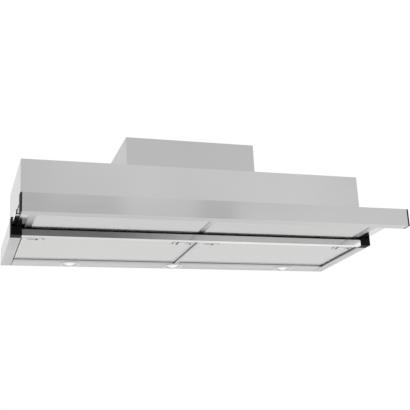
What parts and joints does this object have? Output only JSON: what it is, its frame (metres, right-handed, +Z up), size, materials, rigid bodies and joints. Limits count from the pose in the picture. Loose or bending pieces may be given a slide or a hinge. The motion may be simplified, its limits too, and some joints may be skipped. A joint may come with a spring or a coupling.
{
  "type": "pull out range hood",
  "caption": "Slim under-cabinet range hood with a pull out visor, mesh grease filters, lamps behind them and a motor housing with a duct collar on top.",
  "frame": {"origin": "centre of the cabinet screw holes, in the plane of the tray's top ledges", "axes": "+X right along the long side, +Y to the wall behind, +Z up towards the duct collar"},
  "size_m": [0.898, 0.498, 0.3145],
  "materials": {
    "brushed_steel": "fine horizontal brushing",
    "polished_steel": "bright, mirror-like",
    "zinc_steel": "zinc plated",
    "aluminium": "satin",
    "seal_rubber": "matt",
    "black_plastic": "fine moulded grain",
    "grey_plastic": "moulded",
    "lamp_glass": "frosted",
    "lamp_trim": "satin plated ring",
    "motor_iron": "black painted"
  },
  "bodies": {
    "hood": {"casing_wrap": "brushed_steel", "casing_top": "brushed_steel", "casing_back": "brushed_steel", "motor_housing": "brushed_steel", "side_rail_left": "brushed_steel", "side_rail_right": "brushed_steel", "rear_rail": "brushed_steel", "front_channel": "polished_steel", "channel_seal": "seal_rubber", "centre_divider": "polished_steel", "lamp_panel": "brushed_steel", "corner_block_left": "black_plastic", "corner_block_right": "black_plastic", "lamp_rings": "lamp_trim", "lamp_lenses": "lamp_glass", "lamp_bodies": "aluminium", "lamp_driver": "grey_plastic", "slide_fixed_left": "zinc_steel", "slide_fixed_right": "zinc_steel", "scroll_housing": "zinc_steel", "fan_motor": "motor_iron", "duct_collar": "zinc_steel", "capacitor": "aluminium", "terminal_box": "grey_plastic", "cable_gland": "black_plastic", "visor_switch": "black_plastic", "casing_screws": "zinc_steel"},
    "fan": {"fan_wheel": "grey_plastic", "motor_shaft": "zinc_steel"},
    "front_flap": {"flap_front": "grey_plastic"},
    "rear_flap": {"flap_rear": "grey_plastic"},
    "middle_slides": {"slide_middle_left": "zinc_steel", "slide_middle_right": "zinc_steel"},
    "visor": {"visor_front": "brushed_steel", "visor_backplate": "polished_steel", "end_cap_left": "black_plastic", "end_cap_right": "black_plastic", "visor_tray": "polished_steel", "carrier_left": "polished_steel", "carrier_right": "polished_steel", "visor_lip": "seal_rubber", "slide_inner_left": "zinc_steel", "slide_inner_right": "zinc_steel", "visor_filter_frame_left": "aluminium", "visor_filter_frame_right": "aluminium", "visor_filter_mesh_left": "aluminium", "visor_filter_mesh_right": "aluminium", "switch_module": "black_plastic"},
    "speed_switch": {"speed_slider": "black_plastic"},
    "lamp_switch": {"lamp_slider": "black_plastic"},
    "filter_left": {"filter_frame_left": "aluminium", "filter_mesh_left": "aluminium"},
    "filter_right": {"filter_frame_right": "aluminium", "filter_mesh_right": "aluminium"},
    "catch_a": {"catch_left_outer": "black_plastic"},
    "catch_b": {"catch_left_inner": "black_plastic"},
    "catch_c": {"catch_right_inner": "black_plastic"},
    "catch_d": {"catch_right_outer": "black_plastic"}
  },
  "joints": [
    {"name": "visor_pull", "type": "slide", "parent": "hood", "child": "visor", "axis": [0, -1, 0], "range_m": [-0.172, 0]},
    {"name": "middle_slide_run", "type": "slide", "parent": "hood", "child": "middle_slides", "axis": [0, -1, 0], "range_m": [-0.086, 0]},
    {"name": "fan_spin", "type": "hinge", "parent": "hood", "child": "fan", "pos_m": [0, 0.02, 0.09733], "axis": [1, 0, 0], "continuous": true},
    {"name": "front_flap_hinge", "type": "hinge", "parent": "hood", "child": "front_flap", "pos_m": [0, 0.0619, 0.2383], "axis": [-1, 0, 0], "range_deg": [0, 70]},
    {"name": "rear_flap_hinge", "type": "hinge", "parent": "hood", "child": "rear_flap", "pos_m": [0, 0.0719, 0.2383], "axis": [1, 0, 0], "range_deg": [0, 70]},
    {"name": "left_filter_hinge", "type": "hinge", "parent": "hood", "child": "filter_left", "pos_m": [-0.2135, 0.0855, -0.033], "axis": [1, 0, 0], "range_deg": [0, 75]},
    {"name": "right_filter_hinge", "type": "hinge", "parent": "hood", "child": "filter_right", "pos_m": [0.2135, 0.0855, -0.033], "axis": [1, 0, 0], "range_deg": [0, 75]},
    {"name": "speed_slide", "type": "slide", "parent": "visor", "child": "speed_switch", "axis": [1, 0, 0], "range_m": [0, 0.012]},
    {"name": "lamp_slide", "type": "slide", "parent": "visor", "child": "lamp_switch", "axis": [1, 0, 0], "range_m": [0, 0.006]},
    {"name": "catch_a_slide", "type": "slide", "parent": "filter_left", "child": "catch_a", "axis": [1, 0, 0], "range_m": [0, 0.004], "stiffness_N_per_m": 150, "springref_m": -0.006},
    {"name": "catch_b_slide", "type": "slide", "parent": "filter_left", "child": "catch_b", "axis": [-1, 0, 0], "range_m": [0, 0.004], "stiffness_N_per_m": 150, "springref_m": -0.006},
    {"name": "catch_c_slide", "type": "slide", "parent": "filter_right", "child": "catch_c", "axis": [1, 0, 0], "range_m": [0, 0.004], "stiffness_N_per_m": 150, "springref_m": -0.006},
    {"name": "catch_d_slide", "type": "slide", "parent": "filter_right", "child": "catch_d", "axis": [-1, 0, 0], "range_m": [0, 0.004], "stiffness_N_per_m": 150, "springref_m": -0.006}
  ],
  "couplings": [
    {"joint": "middle_slide_run", "follows": "visor_pull", "ratio": 0.5}
  ]
}
